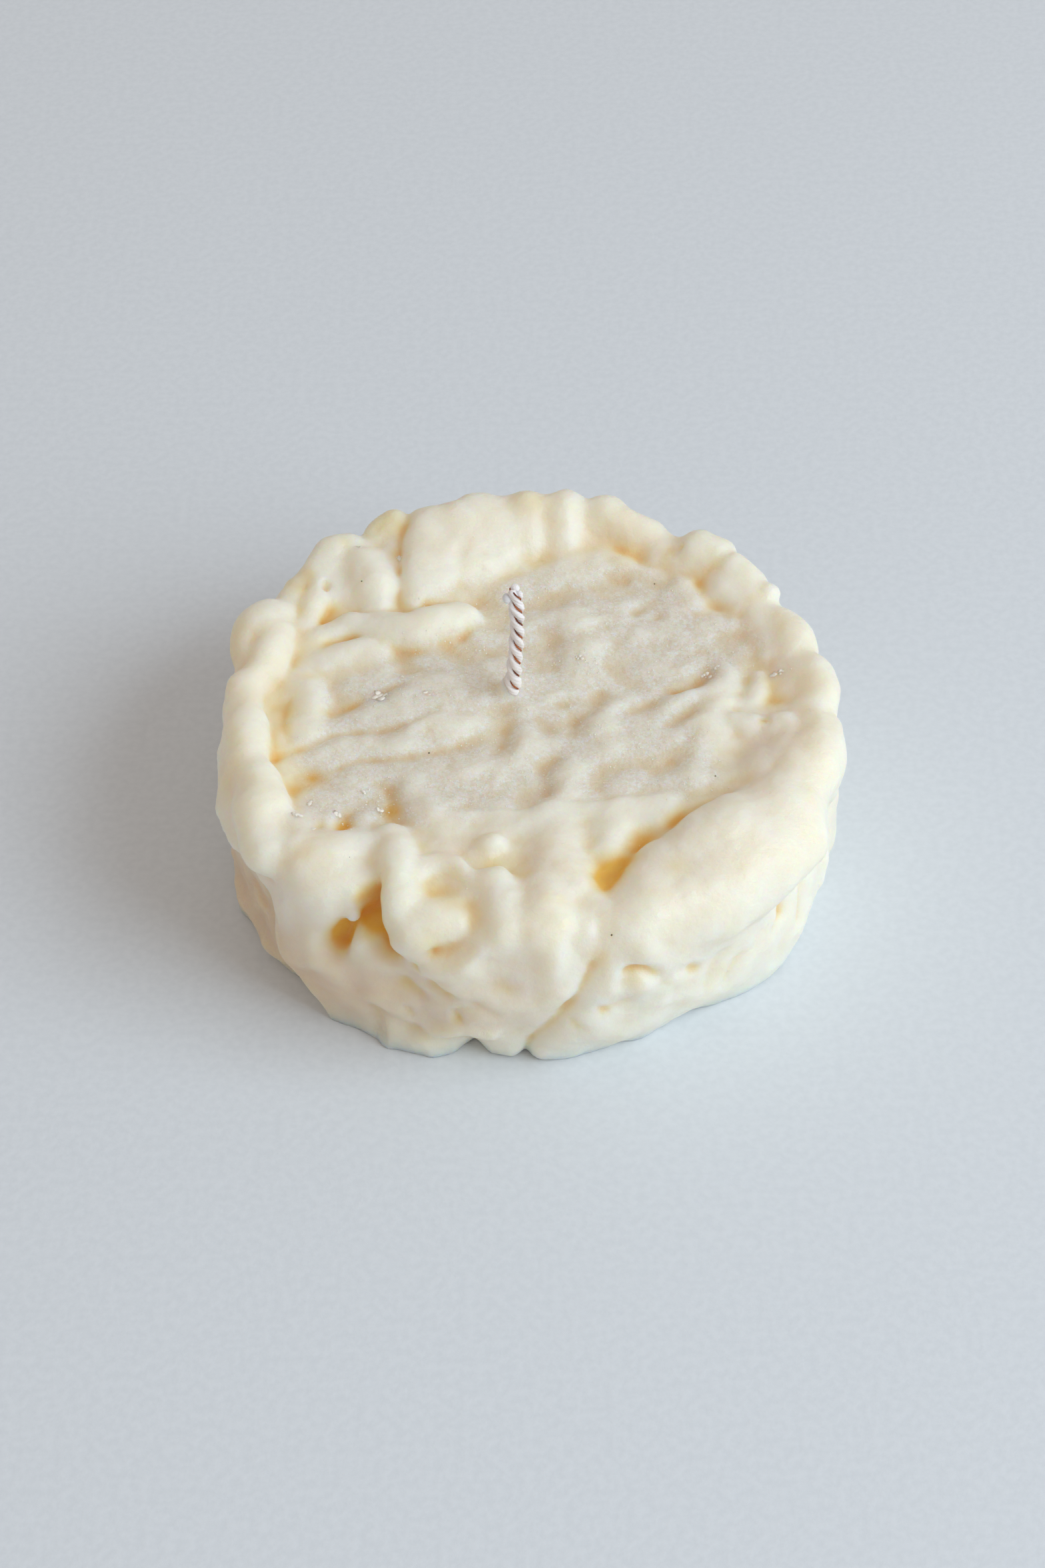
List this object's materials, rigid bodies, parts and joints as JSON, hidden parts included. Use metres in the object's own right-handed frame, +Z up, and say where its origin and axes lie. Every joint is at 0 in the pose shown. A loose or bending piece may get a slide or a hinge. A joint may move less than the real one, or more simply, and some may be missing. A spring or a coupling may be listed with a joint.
{
  "type": "round pillar candle",
  "caption": "Short round wax candle with a lobed, folded rim like the rind of a soft cheese and a twisted cotton wick.",
  "frame": {"origin": "centre of the flat base, on the surface that the candle stands on", "axes": "+Z up along the wick, -Y towards the side with the rim's deep pocket, +X to the right seen from there"},
  "size_m": [0.0998, 0.1001, 0.0535],
  "materials": {
    "wax": "satin, slightly translucent cast wax",
    "cotton": "matt twisted cotton, stiff with wax",
    "tracer": "matt dyed thread",
    "tin": "tin-plated pressed sheet"
  },
  "bodies": {
    "root": {"wax_body": "wax", "wick_strand_1": "cotton", "wick_strand_2": "cotton", "wick_strand_3": "cotton", "tracer_thread_1": "tracer", "tracer_thread_2": "tracer", "tracer_thread_3": "tracer", "wick_sustainer": "tin"}
  },
  "joints": []
}
